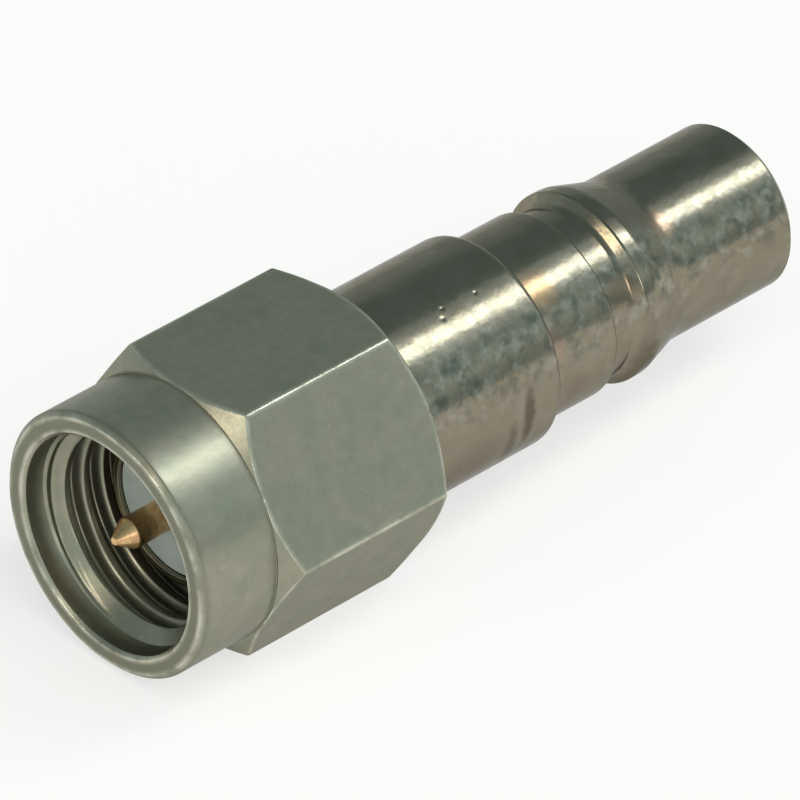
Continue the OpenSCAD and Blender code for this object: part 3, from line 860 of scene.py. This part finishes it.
# The camera's turn and height in degrees, its distance in metres and its lens in mm, and how far
# in metres its aim lies left of and below the middle of the adapter
VIEW_AZIMUTH, VIEW_ELEVATION, VIEW_DISTANCE, VIEW_LENS = -43.4, 35.4, 0.3, 492.8
AIM_LEFT, AIM_DOWN = 0.000685, 0.000783
azimuth, elevation = math.radians(VIEW_AZIMUTH), math.radians(VIEW_ELEVATION)
right = Vector((math.cos(azimuth), math.sin(azimuth), 0))
heading = Vector((-math.sin(azimuth), math.cos(azimuth), 0))
forward = heading * math.cos(elevation) - Vector((0, 0, math.sin(elevation)))
up = right.cross(forward)
aim = Vector((0, 0, AXIS_HEIGHT)) - right * AIM_LEFT - up * AIM_DOWN

camera = bpy.data.objects.new("camera", bpy.data.cameras.new("camera"))
camera.data.sensor_width, camera.data.lens = 36.0, VIEW_LENS
camera.data.clip_start, camera.data.clip_end = 0.01, 20
camera.location = aim - forward * VIEW_DISTANCE
camera.rotation_mode = "QUATERNION"
camera.rotation_quaternion = forward.to_track_quat("-Z", "Y")
bpy.context.scene.collection.objects.link(camera)
bpy.context.scene.camera = camera


def lamp(name, toward, distance, wide, tall, power, tint="#ffffff", along=(1, 0, 0), glossy=True):
    """A soft rectangular lamp that faces the object. Its wide side lies along the given line, and
    with glossy off, metal doesn't mirror it."""
    light = bpy.data.lights.new(name, "AREA")
    light.shape, light.size, light.size_y = "RECTANGLE", wide, tall
    light.energy, light.color = power, colour(tint)[:3]
    holder = bpy.data.objects.new(name, light)
    away = Vector(toward).normalized()
    across = (Vector(along) - away * away.dot(Vector(along))).normalized()
    turn = Matrix((across, away.cross(across), away)).transposed()
    holder.matrix_world = Matrix.Translation(away * distance) @ turn.to_4x4()
    holder.visible_glossy = glossy
    bpy.context.scene.collection.objects.link(holder)


lamp("key_softbox", (0.56, -0.3, 0.775), 0.9, 0.6, 0.18, 1.85, "#f5f7f6")
lamp("key_spill", (0.56, -0.28, 0.78), 0.9, 0.6, 0.6, 0.45, "#eef6ff")
lamp("front_softbox", (-0.9, 0.04, 0.4), 0.8, 0.3, 0.18, 1.0, "#fff2e0", along=(0, 1, 0))
lamp("corner_softbox", (-0.62, -0.74, 0.22), 0.8, 0.2, 0.18, 0.48, "#fff0e8")
lamp("fill", (-0.2, -0.75, 1.1), 1.2, 0.9, 0.9, 8.7, "#fff6ef", glossy=False)

# The room's walls: grey above and paler low down, and palest on the near side, at -Y, which is
# what the polished flanks mirror.
world = bpy.data.worlds.new("studio")
bpy.context.scene.world = world
world.use_nodes = True
tree = world.node_tree
tree.nodes.clear()
direction = add(tree, "ShaderNodeSeparateXYZ", {
    0: add(tree, "ShaderNodeTexCoord").outputs["Generated"],
}).outputs
behind = add(tree, "ShaderNodeValToRGB", {0: direction["Z"]}, stops=[
    (0.0, "#c9d6d6"), (1.0, "#7d8f91"), (0.2, "#b7c5c6"), (0.38, "#a5b2b4"), (0.56, "#7d8f91"),
])
beside = add(tree, "ShaderNodeValToRGB", {0: direction["Z"]}, stops=[
    (0.0, "#9db1b6"), (1.0, "#7d8f91"), (0.14, "#adbbbb"), (0.3, "#dcedf0"),
    (0.42, "#d2e5e9"), (0.56, "#b8cdd2"),
])
side = add(tree, "ShaderNodeMapRange", {
    "Value": direction["Y"], "From Min": 0.2, "From Max": -0.5,
}, interpolation_type="SMOOTHSTEP")
room = add(tree, "ShaderNodeMix", {
    "Factor": side, COLOUR_A: behind, COLOUR_B: beside,
}, data_type="RGBA")
background = add(tree, "ShaderNodeBackground", {"Color": room.outputs[COLOUR_OUT], "Strength": 1.0})
add(tree, "ShaderNodeOutputWorld", {"Surface": background})

bpy.context.scene.view_settings.view_transform = "Standard"
